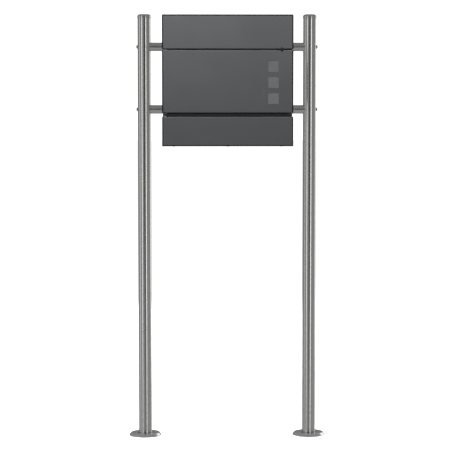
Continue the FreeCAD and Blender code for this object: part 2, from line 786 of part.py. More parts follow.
def flap_panel():
    """Roof and front in one folded sheet, with side returns and knuckles along the rear edge."""
    outer = block(-half_width, half_width, front_y, front_y + return_depth, flap_bottom, box_top)
    outer = outer.fuse(block(-half_width, half_width, front_y, back_y, box_top - return_depth, box_top))
    outer = outer.removeSplitter()
    folds = flat_edges(outer, y=front_y) + flat_edges(outer, x=-half_width, z=box_top)
    folds += flat_edges(outer, x=half_width, z=box_top)
    outer = outer.makeFillet(bend_radius, folds)
    wide = half_width - sheet
    inner = block(-wide, wide, front_y + sheet, back_y + overrun, flap_bottom + sheet, box_top - sheet)
    folds = flat_edges(inner, y=front_y + sheet) + flat_edges(inner, x=-wide, z=box_top - sheet)
    folds += flat_edges(inner, x=wide, z=box_top - sheet)
    shell = outer.cut(inner.makeFillet(bend_radius - sheet, folds))
    shell = shell.cut(block(-hinge_half, hinge_half, flap_axis_y - hinge_run, back_y + overrun,
                            box_top - 2 * sheet, box_top + overrun))
    for knuckle in knuckles(range(1, knuckle_count, 2), lambda u, v: V(0, flap_axis_y + u, flap_axis_z + v)):
        shell = shell.fuse(knuckle)
    return shell.removeSplitter().cut(notch_cutter())


def flap_hinge_rod():
    """Rod through all the knuckles."""
    half = hinge_half + rod_end
    return cylinder(rod_radius, V(-half, flap_axis_y, flap_axis_z), X_DIR, 2 * half)


# ---- Door ----
def window_centres():
    """Heights of the window centres."""
    reach = window_pitch * (window_count - 1) / 2
    return spread(window_z - reach, window_z + reach, window_count)


def stud_points():
    """Places of the inlay's studs on the door's inner face, between the windows."""
    heights = window_centres()
    return [V(window_x, front_y + sheet, (low + high) / 2) for low, high in zip(heights, heights[1:])]


def door_panel():
    """Folded door with three square windows, a notch for the lock and holes for the hinge bushes."""
    door = pan(door_bottom, door_top).cut(notch_cutter())
    half = window_size / 2
    for z in window_centres():
        window = block(window_x - half, window_x + half, front_y - overrun, front_y + sheet + overrun,
                       z - half, z + half)
        corners = [edge for edge in window.Edges if edge.BoundBox.YLength > sheet]
        door = door.cut(window.makeFillet(window_corner, corners))
    ends = [V(pivot_x, pivot_y, door_bottom), V(pivot_x, pivot_y, door_top)]
    return drill(door, ends, Z_DIR, bush_radius + seat_fit, through_sheet)


def inlay_plate():
    """Stainless plate behind the windows."""
    half_x = window_size / 2 + inlay_margin_x
    half_z = window_pitch * (window_count - 1) / 2 + window_size / 2 + inlay_margin_z
    y = front_y + sheet
    plate = block(window_x - half_x, window_x + half_x, y, y + inlay_thickness,
                  window_z - half_z, window_z + half_z)
    return drill(plate, stud_points(), Y_DIR, stud_radius + screw_fit, 2 * inlay_thickness)


def inlay_studs():
    """Studs welded to the door's inner face."""
    return Part.makeCompound([cylinder(stud_radius, point, Y_DIR, stud_length) for point in stud_points()])


def inlay_nuts():
    """Nuts that clamp the inlay plate."""
    nut = hex_prism(stud_nut_flats, stud_nut_height)
    nut = nut.cut(cylinder(stud_radius + seat_fit, V(0, 0, -overrun), Z_DIR, stud_nut_height + 2 * overrun))
    return Part.makeCompound([aim(nut, point + V(0, inlay_thickness, 0), Y_DIR) for point in stud_points()])


def door_bushes():
    """Flanged bushes in the door's lower and upper returns."""
    flange_radius = hinge_inset - sheet - bush_flange_gap
    flange = tab_gap - bush_flange_play
    body = cylinder(bush_radius, V(0, 0, -bush_length), Z_DIR, bush_length)
    bush = body.fuse(cylinder(flange_radius, V(0, 0, 0), Z_DIR, flange)).removeSplitter()
    bore = hinge_pin_radius + running_fit
    start = V(0, 0, -bush_length - overrun)
    bush = bush.cut(cylinder(bore, start, Z_DIR, bush_length + flange + 2 * overrun))
    ends = ((door_top, Z_DIR), (door_bottom, -Z_DIR))
    return Part.makeCompound([aim(bush, V(pivot_x, pivot_y, z), direction) for z, direction in ends])


def door_hinge_pins():
    """Fixed pins in the bracket tabs that reach into the door's bushes."""
    length = bracket_thickness + tab_gap + hinge_pin_reach
    tabs = ((seam_z + bracket_thickness / 2, -Z_DIR), (door_bottom - tab_gap - bracket_thickness, Z_DIR))
    pins = []
    for z, direction in tabs:
        pins.append(cylinder(hinge_pin_radius, V(pivot_x, pivot_y, z), direction, length))
    return Part.makeCompound(pins)


def hinge_bracket():
    """Bracket for the upper pin, with its tab's lower face at z = 0."""
    path = [(pivot_y - bracket_nose, 0), (frame_y, 0), (frame_y, bracket_length)]
    width = front_flange - 2 * bracket_edge
    section = rounded_face(folded_section(path, bracket_thickness, bracket_bend), side_view)
    bracket = section.extrude(V(width, 0, 0))
    bracket.translate(V(-body_half + bracket_edge, 0, 0))
    pin = V(pivot_x, pivot_y, 0)
    bracket = drill(bracket, [pin], Z_DIR, hinge_pin_radius + seat_fit, 2 * bracket_thickness)
    rivets = [V(-flange_rivet_x, frame_y, rise) for rise in bracket_rivets_at]
    return drill(bracket, rivets, Y_DIR, rivet_radius + seat_fit, 2 * bracket_thickness)


def hinge_bracket_upper():
    """Upper bracket, its tab in the middle of the seam."""
    bracket = hinge_bracket()
    bracket.translate(V(0, 0, seam_z - bracket_thickness / 2))
    return bracket


def hinge_bracket_lower():
    """Lower bracket, the upper one's mirror image, its tab under the door."""
    bracket = hinge_bracket().mirror(V(0, 0, 0), Z_DIR)
    bracket.translate(V(0, 0, door_bottom - tab_gap))
    return bracket


def bracket_rivets():
    """Rivets of both hinge brackets."""
    grip = bracket_thickness + 2 * sheet
    points = rail_rivet_points(-1) + lower_bracket_rivet_points()
    return Part.makeCompound([blind_rivet(p - V(0, bracket_thickness, 0), -Y_DIR, grip) for p in points])


def door_catch():
    """Catch on the door's inner face: an arm to the back with an upward tab behind the lock's cam."""
    tab_rear = cam_rear_y + cam_play + catch_thickness
    arm_top = seam_z - catch_arm
    foot_bottom = arm_top - catch_foot
    tab_top = seam_z - catch_top
    face = front_y + sheet
    path = [(face, foot_bottom), (face, arm_top), (tab_rear - catch_thickness, arm_top),
            (tab_rear - catch_thickness, tab_top)]
    section = rounded_face(folded_section(path[::-1], catch_thickness, catch_bend), side_view)
    catch = section.extrude(V(catch_width, 0, 0))
    catch.translate(V(lock_x + catch_offset - catch_width / 2, 0, 0))
    return catch


# ---- Lock ----
def lock_barrel():
    """Fixed barrel through the front rail, with a collar in front of it."""
    start_y = front_y + barrel_setback
    barrel = cylinder(barrel_radius, V(lock_x, start_y, seam_z), Y_DIR, barrel_end_y - start_y)
    collar = cylinder(collar_radius, V(lock_x, rail_y - collar_thickness, seam_z), Y_DIR, collar_thickness)
    bore = cylinder(plug_radius + running_fit, V(lock_x, front_y - overrun, seam_z), Y_DIR, box_depth)
    return barrel.fuse(collar).removeSplitter().cut(bore)


def lock_nut():
    """Nut behind the rail that holds the barrel."""
    nut = hex_prism(lock_nut_flats, lock_nut_height)
    nut = nut.cut(cylinder(barrel_radius + seat_fit, V(0, 0, -overrun), Z_DIR, lock_nut_height + 2 * overrun))
    return aim(nut, V(lock_x, lock_nut_y, seam_z), Y_DIR)


def lock_plug():
    """Turning plug with a key slot in front and a square with a threaded hole behind."""
    plug = cylinder(plug_radius, V(lock_x, front_y, seam_z), Y_DIR, cam_y - front_y)
    half = cam_square / 2
    plug = plug.fuse(block(lock_x - half, lock_x + half, cam_y, cam_rear_y, seam_z - half, seam_z + half))
    slot = block(lock_x - key_slot_width / 2, lock_x + key_slot_width / 2, front_y - overrun,
                 front_y + key_slot_depth, seam_z - key_slot_height / 2, seam_z + key_slot_height / 2)
    thread = cylinder(cam_screw_radius + seat_fit, V(lock_x, cam_rear_y - cam_screw_length - overrun, seam_z),
                      Y_DIR, cam_screw_length + 2 * overrun)
    return plug.removeSplitter().cut(slot).cut(thread)


def lock_cam():
    """Cam on the plug's square, pointing left when the door is free."""
    half = cam_width / 2
    cam = cylinder(half, V(lock_x, cam_y, seam_z), Y_DIR, cam_thickness)
    tip_x = lock_x - cam_reach + half
    cam = cam.fuse(block(tip_x, lock_x, cam_y, cam_rear_y, seam_z - half, seam_z + half))
    cam = cam.fuse(cylinder(half, V(tip_x, cam_y, seam_z), Y_DIR, cam_thickness)).removeSplitter()
    hole = cam_square / 2 + seat_fit
    return cam.cut(block(lock_x - hole, lock_x + hole, cam_y - overrun, cam_rear_y + overrun,
                         seam_z - hole, seam_z + hole))


def cam_screw():
    """Screw that holds the cam on the plug."""
    screw = button_screw(cam_screw_radius, cam_screw_length, cam_screw_head_radius, cam_screw_head_height,
                         cam_screw_socket)
    return aim(screw, V(lock_x, cam_rear_y, seam_z), Y_DIR)


def build_nodes():
    """Every piece of the letterbox by name."""
    return {
        "post_left": post(-1),
        "post_right": post(1),
        "post_cap_left": post_cap(-1),
        "post_cap_right": post_cap(1),
        "base_flange_left": base_flange(-1),
        "base_flange_right": base_flange(1),
        "post_spigots": post_spigots(),
        "flange_set_screws": flange_set_screws(),
        "cross_tube_upper": cross_tube(upper_cross_z),
        "cross_tube_lower": cross_tube(lower_cross_z),
        "cross_tube_plugs": cross_tube_plugs(),
        "post_screws": post_screws(),
        "saddle_washers": saddle_washers(),
        "box_bolts": box_bolts(),
        "saddle_spacers": saddle_spacers(),
        "rear_saddle_washers": rear_saddle_washers(),
        "dome_nuts": dome_nuts(),
        "back_panel": back_panel(),
        "side_panel_left": side_panel(-1),
        "side_panel_right": side_panel(1),
        "mail_floor": mail_floor(),
        "front_rail": front_rail(),
        "body_rivets": body_rivets(),
        "flap_buffers": flap_buffers(),
        "door_buffers": door_buffers(),
        "newspaper_front_panel": newspaper_front_panel(),
        "newspaper_floor": newspaper_floor(),
        "newspaper_rivets": newspaper_rivets(),
        "flap_panel": flap_panel(),
        "flap_hinge_rod": flap_hinge_rod(),
        "door_panel": door_panel(),
        "inlay_plate": inlay_plate(),
        "inlay_studs": inlay_studs(),
        "inlay_nuts": inlay_nuts(),
        "door_bushes": door_bushes(),
        "door_hinge_pins": door_hinge_pins(),
        "hinge_bracket_upper": hinge_bracket_upper(),
        "hinge_bracket_lower": hinge_bracket_lower(),
        "bracket_rivets": bracket_rivets(),
        "door_catch": door_catch(),
        "lock_barrel": lock_barrel(),
        "lock_nut": lock_nut(),
        "lock_plug": lock_plug(),
        "lock_cam": lock_cam(),
        "cam_screw": cam_screw(),
    }


os.makedirs("parts", exist_ok=True)
for node, shape in build_nodes().items():
    shape.exportStep(f"parts/{node}.step")
    bounds = shape.BoundBox
    print(f"{node}: {len(shape.Solids)} solids, valid {shape.isValid()}, volume {shape.Volume:.0f}, "
          f"x {bounds.XMin:.2f}..{bounds.XMax:.2f} y {bounds.YMin:.2f}..{bounds.YMax:.2f} "
          f"z {bounds.ZMin:.2f}..{bounds.ZMax:.2f}")
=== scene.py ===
"""Visual model of a freestanding letterbox with a newspaper compartment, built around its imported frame."""
import logging
import math
from dataclasses import dataclass
from enum import Enum

import bmesh
import bpy
from mathutils import Matrix, Vector


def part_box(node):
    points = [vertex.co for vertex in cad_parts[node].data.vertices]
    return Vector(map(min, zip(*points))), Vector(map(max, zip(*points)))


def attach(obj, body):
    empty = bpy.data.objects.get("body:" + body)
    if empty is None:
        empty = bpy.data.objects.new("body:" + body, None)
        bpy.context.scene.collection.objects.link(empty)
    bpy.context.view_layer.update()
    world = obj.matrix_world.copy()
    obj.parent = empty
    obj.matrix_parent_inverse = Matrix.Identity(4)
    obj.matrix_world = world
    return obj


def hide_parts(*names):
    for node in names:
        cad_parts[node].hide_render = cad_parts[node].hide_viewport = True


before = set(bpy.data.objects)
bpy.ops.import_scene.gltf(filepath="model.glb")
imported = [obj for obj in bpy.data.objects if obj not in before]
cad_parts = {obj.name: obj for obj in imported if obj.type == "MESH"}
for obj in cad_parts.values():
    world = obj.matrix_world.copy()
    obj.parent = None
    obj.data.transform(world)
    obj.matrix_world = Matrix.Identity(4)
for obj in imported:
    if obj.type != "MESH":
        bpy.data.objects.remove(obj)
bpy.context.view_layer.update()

MM = 0.001
BOX_HALF = 185.0 * MM
BOX_TOP = 1216.0 * MM
BOX_BOTTOM = 846.0 * MM
BOX_FRONT = -120.5 * MM
# width of the band of painted shade along the folds round the box's front
EDGE_SHADE_BAND = 3.4 * MM
POST_OUT = 238.0 * MM
MERGE = 0.001 * MM
WALL_LEAN = 0.99
NOISE_LOW = 0.3
NOISE_HIGH = 0.7
LOG = logging.getLogger("letterbox")


# ---------------------------------------------------------------- finishes
class Graph:
    """Short way to write a material's node tree."""

    def __init__(self, name: str) -> None:
        """Start an empty material.

        Args:
            name: name of the new material.
        """
        self.material = bpy.data.materials.new(name)
        self.material.use_nodes = True
        self.tree = self.material.node_tree
        self.tree.nodes.clear()
        self.output = self.node("ShaderNodeOutputMaterial")
        self.shader = self.node("ShaderNodeBsdfPrincipled")
        self.link(self.shader.outputs["BSDF"], self.output.inputs["Surface"])

    def node(self, kind: str, **settings: object) -> bpy.types.Node:
        """Add a node.

        Args:
            kind: the node's type name.
            **settings: attributes to set on it.

        Returns:
            The new node.
        """
        node = self.tree.nodes.new(kind)
        for key, value in settings.items():
            setattr(node, key, value)
        return node

    def link(self, source: bpy.types.NodeSocket, target: bpy.types.NodeSocket) -> None:
        """Join an output to an input."""
        self.tree.links.new(source, target)

    def place(self, scale: tuple[float, float, float], offset: Vector | None = None) -> bpy.types.NodeSocket:
        """Object coordinates, stretched.

        Args:
            scale: cycles per metre along each axis.
            offset: point that becomes the origin.

        Returns:
            The coordinate socket.
        """
        coordinate = self.node("ShaderNodeTexCoord").outputs["Object"]
        if offset is not None:
            shift = self.node("ShaderNodeVectorMath", operation="SUBTRACT")
            self.link(coordinate, shift.inputs[0])
            shift.inputs[1].default_value = offset
            coordinate = shift.outputs["Vector"]
        stretch = self.node("ShaderNodeVectorMath", operation="MULTIPLY")
        self.link(coordinate, stretch.inputs[0])
        stretch.inputs[1].default_value = scale
        return stretch.outputs["Vector"]

    def noise(self, vector: bpy.types.NodeSocket, detail: float,
              roughness: float = 0.5) -> bpy.types.NodeSocket:
        """Noise at one cycle per unit of a coordinate.

        Args:
            vector: the coordinate.
            detail: number of finer octaves.
            roughness: strength of the finer octaves.

        Returns:
            The value socket.
        """
        node = self.node("ShaderNodeTexNoise")
        node.inputs["Scale"].default_value = 1.0
        node.inputs["Detail"].default_value = detail
        node.inputs["Roughness"].default_value = roughness
        self.link(vector, node.inputs["Vector"])
        return node.outputs["Fac"]

    def remap(self, value: bpy.types.NodeSocket, low: float, high: float) -> bpy.types.NodeSocket:
        """Spread the middle of a noise over a range.

        Args:
            value: the noise's socket.
            low: result where the noise is low.
            high: result where it is high.

        Returns:
            The mapped socket.
        """
        node = self.node("ShaderNodeMapRange")
        node.inputs["From Min"].default_value = NOISE_LOW
        node.inputs["From Max"].default_value = NOISE_HIGH
        node.inputs["To Min"].default_value = low
        node.inputs["To Max"].default_value = high
        self.link(value, node.inputs["Value"])
        return node.outputs["Result"]

    def tint(self, value: bpy.types.NodeSocket, dark: tuple[float, ...], light: tuple[float, ...]) -> None:
        """Colour the surface between two tones.

        Args:
            value: noise socket that picks the tone.
            dark: linear colour at low values.
            light: linear colour at high values.
        """
        ramp = self.node("ShaderNodeValToRGB")
        ramp.color_ramp.elements[0].position = NOISE_LOW
        ramp.color_ramp.elements[1].position = NOISE_HIGH
        ramp.color_ramp.elements[0].color = (*dark, 1.0)
        ramp.color_ramp.elements[1].color = (*light, 1.0)
        self.link(value, ramp.inputs["Fac"])
        self.link(ramp.outputs["Color"], self.shader.inputs["Base Color"])

    def math(self, operation: str, first: bpy.types.NodeSocket | float,
             second: bpy.types.NodeSocket | float | None = None) -> bpy.types.NodeSocket:
        """Arithmetic on one or two values.

        Args:
            operation: name of the operation.
            first: first value or socket.
            second: second value or socket.

        Returns:
            The result's socket.
        """
        node = self.node("ShaderNodeMath", operation=operation)
        for index, term in enumerate((first, second)):
            if isinstance(term, float):
                node.inputs[index].default_value = term
            elif term is not None:
                self.link(term, node.inputs[index])
        return node.outputs["Value"]

    def darken(self, mask: bpy.types.NodeSocket, tone: float) -> None:
        """Darken the base colour where a mask is 1.

        Args:
            mask: the mask's socket.
            tone: share of the colour that stays.
        """
        mix = self.node("ShaderNodeMix", data_type="RGBA", blend_type="MULTIPLY")
        self.link(mask, mix.inputs["Factor"])
        self.link(self.shader.inputs["Base Color"].links[0].from_socket, mix.inputs[6])
        mix.inputs[7].default_value = (tone, tone, tone, 1.0)
        self.link(mix.outputs[2], self.shader.inputs["Base Color"])

    def bump(self, height: bpy.types.NodeSocket, depth: float, strength: float) -> None:
        """Raise the surface by a height.

        Args:
            height: height socket, 0 to 1.
            depth: metres that 1 stands for.
            strength: how much of it shows.
        """
        node = self.node("ShaderNodeBump")
        node.inputs["Strength"].default_value = strength
        node.inputs["Distance"].default_value = depth
        self.link(height, node.inputs["Height"])
        self.link(node.outputs["Normal"], self.shader.inputs["Normal"])


def shade(colour: tuple[float, float, float], factor: float) -> tuple[float, float, float]:
    """Lighter or darker copy of a linear colour."""
    return tuple(channel * factor for channel in colour)


@dataclass(frozen=True)
class PowderCoat:
    """Fine-textured powder coat on sheet steel."""

    name: str
    colour: tuple[float, float, float]
    grain: float = 0.9 * MM
    grain_depth: float = 0.035 * MM
    relief: float = 0.8
    drift: float = 0.05
    drift_rate: float = 9.0
    roughness: tuple[float, float] = (0.52, 0.64)
    specular: float = 0.3
    # share of the coat's colour left in the painted shade along the front's folds
    edge_shade_tone: float = 0.05

    def painted_edge_shade_mask(self, graph: Graph) -> bpy.types.NodeSocket:
        """Where painted shade darkens the coat along the folds round the box's front.

        Args:
            graph: the material's graph.

        Returns:
            Socket that is 1 on those folds.
        """
        axes = graph.node("ShaderNodeSeparateXYZ")
        graph.link(graph.place((1.0, 1.0, 1.0)), axes.inputs["Vector"])
        side = graph.math("ABSOLUTE", axes.outputs["X"])
        beyond = graph.math("SUBTRACT", side, BOX_HALF - EDGE_SHADE_BAND)
        above = graph.math("SUBTRACT", axes.outputs["Z"], BOX_TOP - EDGE_SHADE_BAND)
        below = graph.math("SUBTRACT", BOX_BOTTOM + EDGE_SHADE_BAND, axes.outputs["Z"])
        most = graph.math("MAXIMUM", graph.math("MAXIMUM", beyond, above), below)
        front = graph.math("LESS_THAN", axes.outputs["Y"], BOX_FRONT + EDGE_SHADE_BAND)
        return graph.math("MULTIPLY", graph.math("GREATER_THAN", most, 0.0), front)

    def make(self) -> bpy.types.Material:
        """Build the material.

        Returns:
            Coat with a fine grain, a slow drift in tone, slightly uneven gloss and painted shade along the
            folds round the front.
        """
        graph = Graph(self.name)
        rate = self.drift_rate
        slow = graph.noise(graph.place((rate, rate, rate)), detail=2.0)
        graph.tint(slow, shade(self.colour, 1.0 - self.drift), shade(self.colour, 1.0 + self.drift))
        # painted shade: the coat's colour is darkened to a dark outline along the folds round the box's
        # front
        edge_shade = self.painted_edge_shade_mask(graph)
        graph.darken(edge_shade, self.edge_shade_tone)
        density = 1.0 / self.grain
        fine = graph.noise(graph.place((density, density, density)), detail=3.0, roughness=0.6)
        matt = graph.math("MAXIMUM", graph.remap(fine, *self.roughness), edge_shade)
        graph.link(matt, graph.shader.inputs["Roughness"])
        graph.bump(fine, self.grain_depth, self.relief)
        graph.shader.inputs["Specular IOR Level"].default_value = self.specular
        return graph.material


class Grain(Enum):
    """Way in which a metal surface was brushed or turned."""

    ALONG_Z = "along z"
    AROUND_Z = "around z"
    AROUND_X = "around x"
    RINGS = "rings"


@dataclass(frozen=True)
class BrushedSteel:
    """Stainless steel with a directed grain."""

    name: str
    colour: tuple[float, float, float]
    grain: Grain
    pitch: float = 0.35 * MM
    streak: float = 40.0 * MM
    depth: float = 0.0006 * MM
    relief: float = 0.6
    roughness: tuple[float, float] = (0.16, 0.24)
    centre: tuple[float, float, float] | None = None
    stretch: float = 0.9
    tone: float = 0.08

    def scale(self) -> tuple[float, float, float]:
        """Cycles per metre along each axis for this grain.

        Returns:
            Fine across the grain and slow along it.
        """
        fine = 1.0 / self.pitch
        slow = 1.0 / self.streak
        return {
            Grain.ALONG_Z: (fine, fine, slow),
            Grain.AROUND_Z: (slow, slow, fine),
            Grain.AROUND_X: (fine, slow, slow),
            Grain.RINGS: (fine, fine, fine),
        }[self.grain]

    def coordinate(self, graph: Graph) -> bpy.types.NodeSocket:
        """Coordinate that varies across the grain.

        Args:
            graph: the material's graph.

        Returns:
            Stretched object coordinates, or the distance from the centre for rings.
        """
        if self.grain is not Grain.RINGS:
            return graph.place(self.scale())
        flat = graph.place((1.0, 1.0, 0.0), Vector(self.centre))
        radius = graph.node("ShaderNodeVectorMath", operation="LENGTH")
        graph.link(flat, radius.inputs[0])
        count = graph.math("MULTIPLY", radius.outputs["Value"], 1.0 / self.pitch)
        ring = graph.node("ShaderNodeCombineXYZ")
        graph.link(count, ring.inputs["X"])
        return ring.outputs["Vector"]

    def make(self) -> bpy.types.Material:
        """Build the material.

        Returns:
            Metal with fine scratches in its relief, its gloss and, faintly, its tone.
        """
        graph = Graph(self.name)
        scratches = graph.noise(self.coordinate(graph), detail=4.0, roughness=0.7)
        graph.tint(scratches, shade(self.colour, 1.0 - self.tone), shade(self.colour, 1.0 + self.tone))
        graph.link(graph.remap(scratches, *self.roughness), graph.shader.inputs["Roughness"])
        graph.bump(scratches, self.depth, self.relief)
        graph.shader.inputs["Metallic"].default_value = 1.0
        graph.shader.inputs["Anisotropic"].default_value = self.stretch
        axis = "X" if self.grain is Grain.AROUND_X else "Z"
        tangent = graph.node("ShaderNodeTangent", direction_type="RADIAL", axis=axis)
        graph.link(tangent.outputs["Tangent"], graph.shader.inputs["Tangent"])
        graph.shader.inputs["Anisotropic Rotation"].default_value = self.turn()
        return graph.material

    def turn(self) -> float:
        """Share of a full turn between the radial tangent and the stretch of highlights."""
        return 0.25 if self.grain in (Grain.AROUND_X, Grain.AROUND_Z) else 0.0


@dataclass(frozen=True)
class PlainMetal:
    """Plated or bare metal with a slight mottle."""

    name: str
    colour: tuple[float, float, float]
    roughness: tuple[float, float]
    mottle: float = 2.5 * MM
    tones: tuple[float, float] = (0.88, 1.08)
    depth: float = 0.01 * MM
    relief: float = 0.4
    metallic: float = 1.0

    def make(self) -> bpy.types.Material:
        """Build the material.

        Returns:
            Metal with a faint uneven tone and gloss.
        """
        graph = Graph(self.name)
        density = 1.0 / self.mottle
        cloud = graph.noise(graph.place((density, density, density)), detail=4.0, roughness=0.65)
        graph.tint(cloud, shade(self.colour, self.tones[0]), shade(self.colour, self.tones[1]))
        graph.link(graph.remap(cloud, *self.roughness), graph.shader.inputs["Roughness"])
        graph.bump(cloud, self.depth, self.relief)
        graph.shader.inputs["Metallic"].default_value = self.metallic
        return graph.material


@dataclass(frozen=True)
class MouldedPolymer:
    """Rubber or nylon moulding."""

    name: str
    colour: tuple[float, float, float]
    roughness: tuple[float, float]
    rate: float = 1600.0
    tones: tuple[float, float] = (0.85, 1.15)
    depth: float = 0.02 * MM
    relief: float = 0.7

    def make(self) -> bpy.types.Material:
        """Build the material.

        Returns:
            Polymer with a fine spark-eroded texture.
        """
        graph = Graph(self.name)
        texture = graph.noise(graph.place((self.rate, self.rate, self.rate)), detail=2.0, roughness=0.6)
        graph.tint(texture, shade(self.colour, self.tones[0]), shade(self.colour, self.tones[1]))
        graph.link(graph.remap(texture, *self.roughness), graph.shader.inputs["Roughness"])
        graph.bump(texture, self.depth, self.relief)
        return graph.material


Recipe = PowderCoat | BrushedSteel | PlainMetal | MouldedPolymer


class Finish(Enum):
    """Finishes of the letterbox."""

    COAT = PowderCoat("anthracite powder coat", (0.055, 0.0555, 0.0575))
    POST = BrushedSteel("brushed post tube", (0.62, 0.615, 0.60), Grain.AROUND_Z,
                        depth=0.00004 * MM, tone=0.02)
    CROSS = BrushedSteel("brushed cross tube", (0.60, 0.595, 0.58), Grain.AROUND_X,
                         depth=0.00004 * MM, tone=0.02)
    INLAY = BrushedSteel("brushed inlay", (0.40, 0.40, 0.40), Grain.ALONG_Z, roughness=(0.46, 0.56))
    CAP = BrushedSteel("turned cap", (0.56, 0.555, 0.54), Grain.AROUND_Z, roughness=(0.20, 0.30))
    FLANGE_LEFT = BrushedSteel("turned flange left", (0.80, 0.79, 0.775), Grain.RINGS,
                               pitch=0.6 * MM, depth=0.004 * MM, roughness=(0.20, 0.32),
                               centre=(-POST_OUT, 0.0, 0.0), stretch=0.0)
    FLANGE_RIGHT = BrushedSteel("turned flange right", (0.80, 0.79, 0.775), Grain.RINGS,
                                pitch=0.6 * MM, depth=0.004 * MM, roughness=(0.20, 0.32),
                                centre=(POST_OUT, 0.0, 0.0), stretch=0.0)
    FASTENER = PlainMetal("bright stainless fastener", (0.52, 0.515, 0.50), (0.22, 0.34))
    RIVET = PlainMetal("aluminium rivet", (0.62, 0.63, 0.64), (0.30, 0.42))
    ZINC = PlainMetal("zinc plated steel", (0.50, 0.52, 0.54), (0.28, 0.40))
    BLACK_ZINC = PlainMetal("black zinc die casting", (0.03, 0.03, 0.032), (0.32, 0.45), metallic=0.6)
    NICKEL = PlainMetal("nickel plated brass", (0.72, 0.70, 0.66), (0.12, 0.22))
    RUBBER = MouldedPolymer("black rubber", (0.022, 0.022, 0.022), (0.62, 0.75))
    NYLON = MouldedPolymer("black nylon", (0.028, 0.028, 0.030), (0.42, 0.55))


MADE: dict[str, bpy.types.Material] = {}


def finish_of(recipe: Recipe) -> bpy.types.Material:
    """Material of a finish, made once.

    Args:
        recipe: the finish's recipe.

    Returns:
        The shared material.
    """
    if recipe.name not in MADE:
        MADE[recipe.name] = recipe.make()
    return MADE[recipe.name]


def dress(piece: bpy.types.Object, recipe: Recipe) -> None:
    """Give a piece one finish all over.

    Args:
        piece: mesh object.
        recipe: the finish's recipe.
    """
    piece.data.materials.clear()
    piece.data.materials.append(finish_of(recipe))


def dress_nodes(finish: Finish, *names: str) -> None:
    """Give nodes that keep their shape one finish, and report each.

    Args:
        finish: the finish.
        *names: the nodes' names.
    """
    for name in names:
        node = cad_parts[name]
        for slot in node.material_slots:
            slot.material = finish_of(finish.value)
        if isinstance(finish.value, PowderCoat):
            node.visible_glossy = False
        LOG.info("dressed %s in %s", name, finish.value.name)


# ---------------------------------------------------------------- meshes
def turned(profile: list[tuple[float, float]], centre: Vector, segments: int) -> bmesh.types.BMesh:
    """Turn a closed profile round an upright axis.

    Args:
        profile: (radius, height) points of the closed outline.
        centre: foot of the axis.
        segments: number of steps round it.

    Returns:
        The closed mesh.
    """
    shape = bmesh.new()
    rings = []
    for step in range(segments):
        angle = 2 * math.pi * step / segments
        turn = (math.cos(angle), math.sin(angle))
        rings.append([shape.verts.new((centre.x + r * turn[0], centre.y + r * turn[1], centre.z + h))
                      for r, h in profile])
    for step, ring in enumerate(rings):
        following = rings[(step + 1) % segments]
        for index in range(len(profile)):
            after = (index + 1) % len(profile)
            shape.faces.new((ring[index], following[index], following[after], ring[after]))
    bmesh.ops.remove_doubles(shape, verts=shape.verts, dist=MERGE)
    bmesh.ops.recalc_face_normals(shape, faces=shape.faces)
    return shape


def piece_of(name: str, shape: bmesh.types.BMesh, crease: float = 30.0) -> bpy.types.Object:
    """Object of a finished mesh, smooth but for its edges.

    Args:
        name: the piece's name.
        shape: its mesh.
        crease: degrees past which an edge stays sharp.

    Returns:
        The new object.
    """
    mesh = bpy.data.meshes.new(name)
    shape.to_mesh(mesh)
    shape.free()
    mesh.polygons.foreach_set("use_smooth", [True] * len(mesh.polygons))
    mesh.set_sharp_from_angle(angle=math.radians(crease))
    piece = bpy.data.objects.new(name, mesh)
    bpy.context.collection.objects.link(piece)
    return piece


def drilled(piece: bpy.types.Object, holes: list[tuple[Vector, Vector, float, float]]) -> None:
    """Drill round holes into a piece.

    Args:
        piece: the piece.
        holes: for each hole its middle, direction, radius and length.
    """
    bits = bmesh.new()
    for middle, direction, radius, length in holes:
        place = Matrix.Translation(middle) @ direction.to_track_quat("Z", "Y").to_matrix().to_4x4()
        bmesh.ops.create_cone(bits, cap_ends=True, segments=32, radius1=radius, radius2=radius, depth=length,
                              matrix=place)
    cutter = piece_of(piece.name + "_bits", bits)
    cut = piece.modifiers.new("holes", "BOOLEAN")
    cut.operation = "DIFFERENCE"
    cut.solver = "EXACT"
    cut.object = cutter
    whole = piece.evaluated_get(bpy.context.evaluated_depsgraph_get())
    mesh = bpy.data.meshes.new_from_object(whole)
    piece.modifiers.clear()
    piece.data = mesh
    bpy.data.objects.remove(cutter)


def rounded_normals(piece: bpy.types.Object, axis: Vector) -> None:
    """Make the walls of an upright tube shade as true circles.

    Args:
        piece: the tube.
        axis: a point of its axis.
    """
    mesh = piece.data
    normals = []
    for face in mesh.polygons:
        out = Vector((face.center.x - axis.x, face.center.y - axis.y, 0.0)).normalized()
        lean = face.normal.dot(out)
        for index in face.vertices:
            point = mesh.vertices[index].co
            radial = Vector((point.x - axis.x, point.y - axis.y, 0.0)).normalized()
            normals.append(radial * math.copysign(1.0, lean) if abs(lean) > WALL_LEAN else face.normal)
    mesh.normals_split_custom_set(normals)


def middle_of(name: str) -> Vector:
    """Middle of a node's box."""
    low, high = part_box(name)
    return (Vector(low) + Vector(high)) / 2


def stand_in(piece: bpy.types.Object, node: str, body: str, finish: Finish) -> None:
    """Put a finer piece in a node's place, dress it and report it.

    Args:
        piece: the finer piece.
        node: the node that it stands for.
        body: the body that it rides on.
        finish: its finish.
    """
    dress(piece, finish.value)
    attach(piece, body)
    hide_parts(node)
    LOG.info("built %s in %s", piece.name, finish.value.name)


